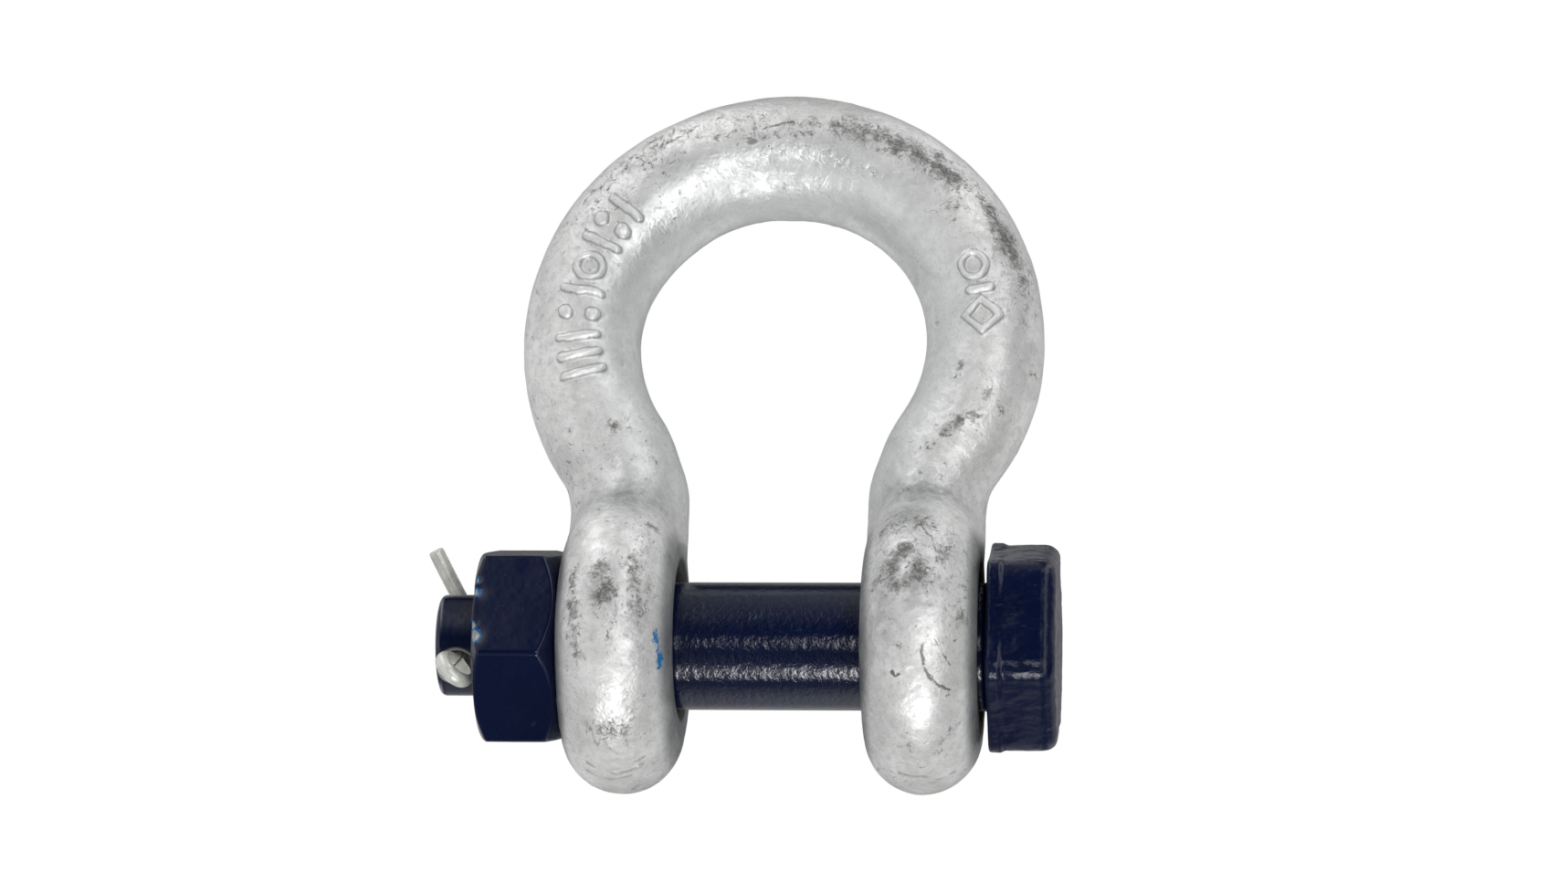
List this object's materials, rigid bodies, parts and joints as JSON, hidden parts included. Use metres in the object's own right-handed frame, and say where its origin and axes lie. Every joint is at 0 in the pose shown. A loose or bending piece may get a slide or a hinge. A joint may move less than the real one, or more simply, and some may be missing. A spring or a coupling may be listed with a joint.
{
  "type": "bow shackle",
  "caption": "Galvanised bow shackle whose ears are joined by a painted hex bolt, held by a hex nut and a split pin.",
  "frame": {"origin": "on the bolt's axis, midway between the two ears", "axes": "+X along the bolt towards its head, +Z from the bolt to the crown of the bow, -Y towards the side where the split pin's eye shows"},
  "size_m": [0.1119, 0.0514, 0.1292],
  "materials": {
    "galvanised_steel": "hot-dip galvanised forging with zinc mottling and dark dross",
    "painted_bolt": "glossy dark navy enamel over a forged head and a turned shank",
    "painted_nut": "glossy dark navy enamel with chipped corners",
    "plated_wire": "dull zinc-plated half-round wire"
  },
  "bodies": {
    "bow": {"bow": "galvanised_steel"},
    "bolt": {"bolt": "painted_bolt"},
    "nut": {"nut": "painted_nut"},
    "split_pin": {"split_pin": "plated_wire"}
  },
  "joints": [
    {"name": "bolt_turn", "type": "hinge", "parent": "bow", "child": "bolt", "pos_m": [0, 0, 0], "axis": [1, 0, 0], "continuous": true},
    {"name": "nut_turn", "type": "hinge", "parent": "bolt", "child": "nut", "pos_m": [0, 0, 0], "axis": [1, 0, 0], "range_deg": [-270, 0]},
    {"name": "split_pin_slide", "type": "slide", "parent": "bolt", "child": "split_pin", "axis": [0, -0.7771, -0.6293], "range_m": [0, 0.001]}
  ]
}
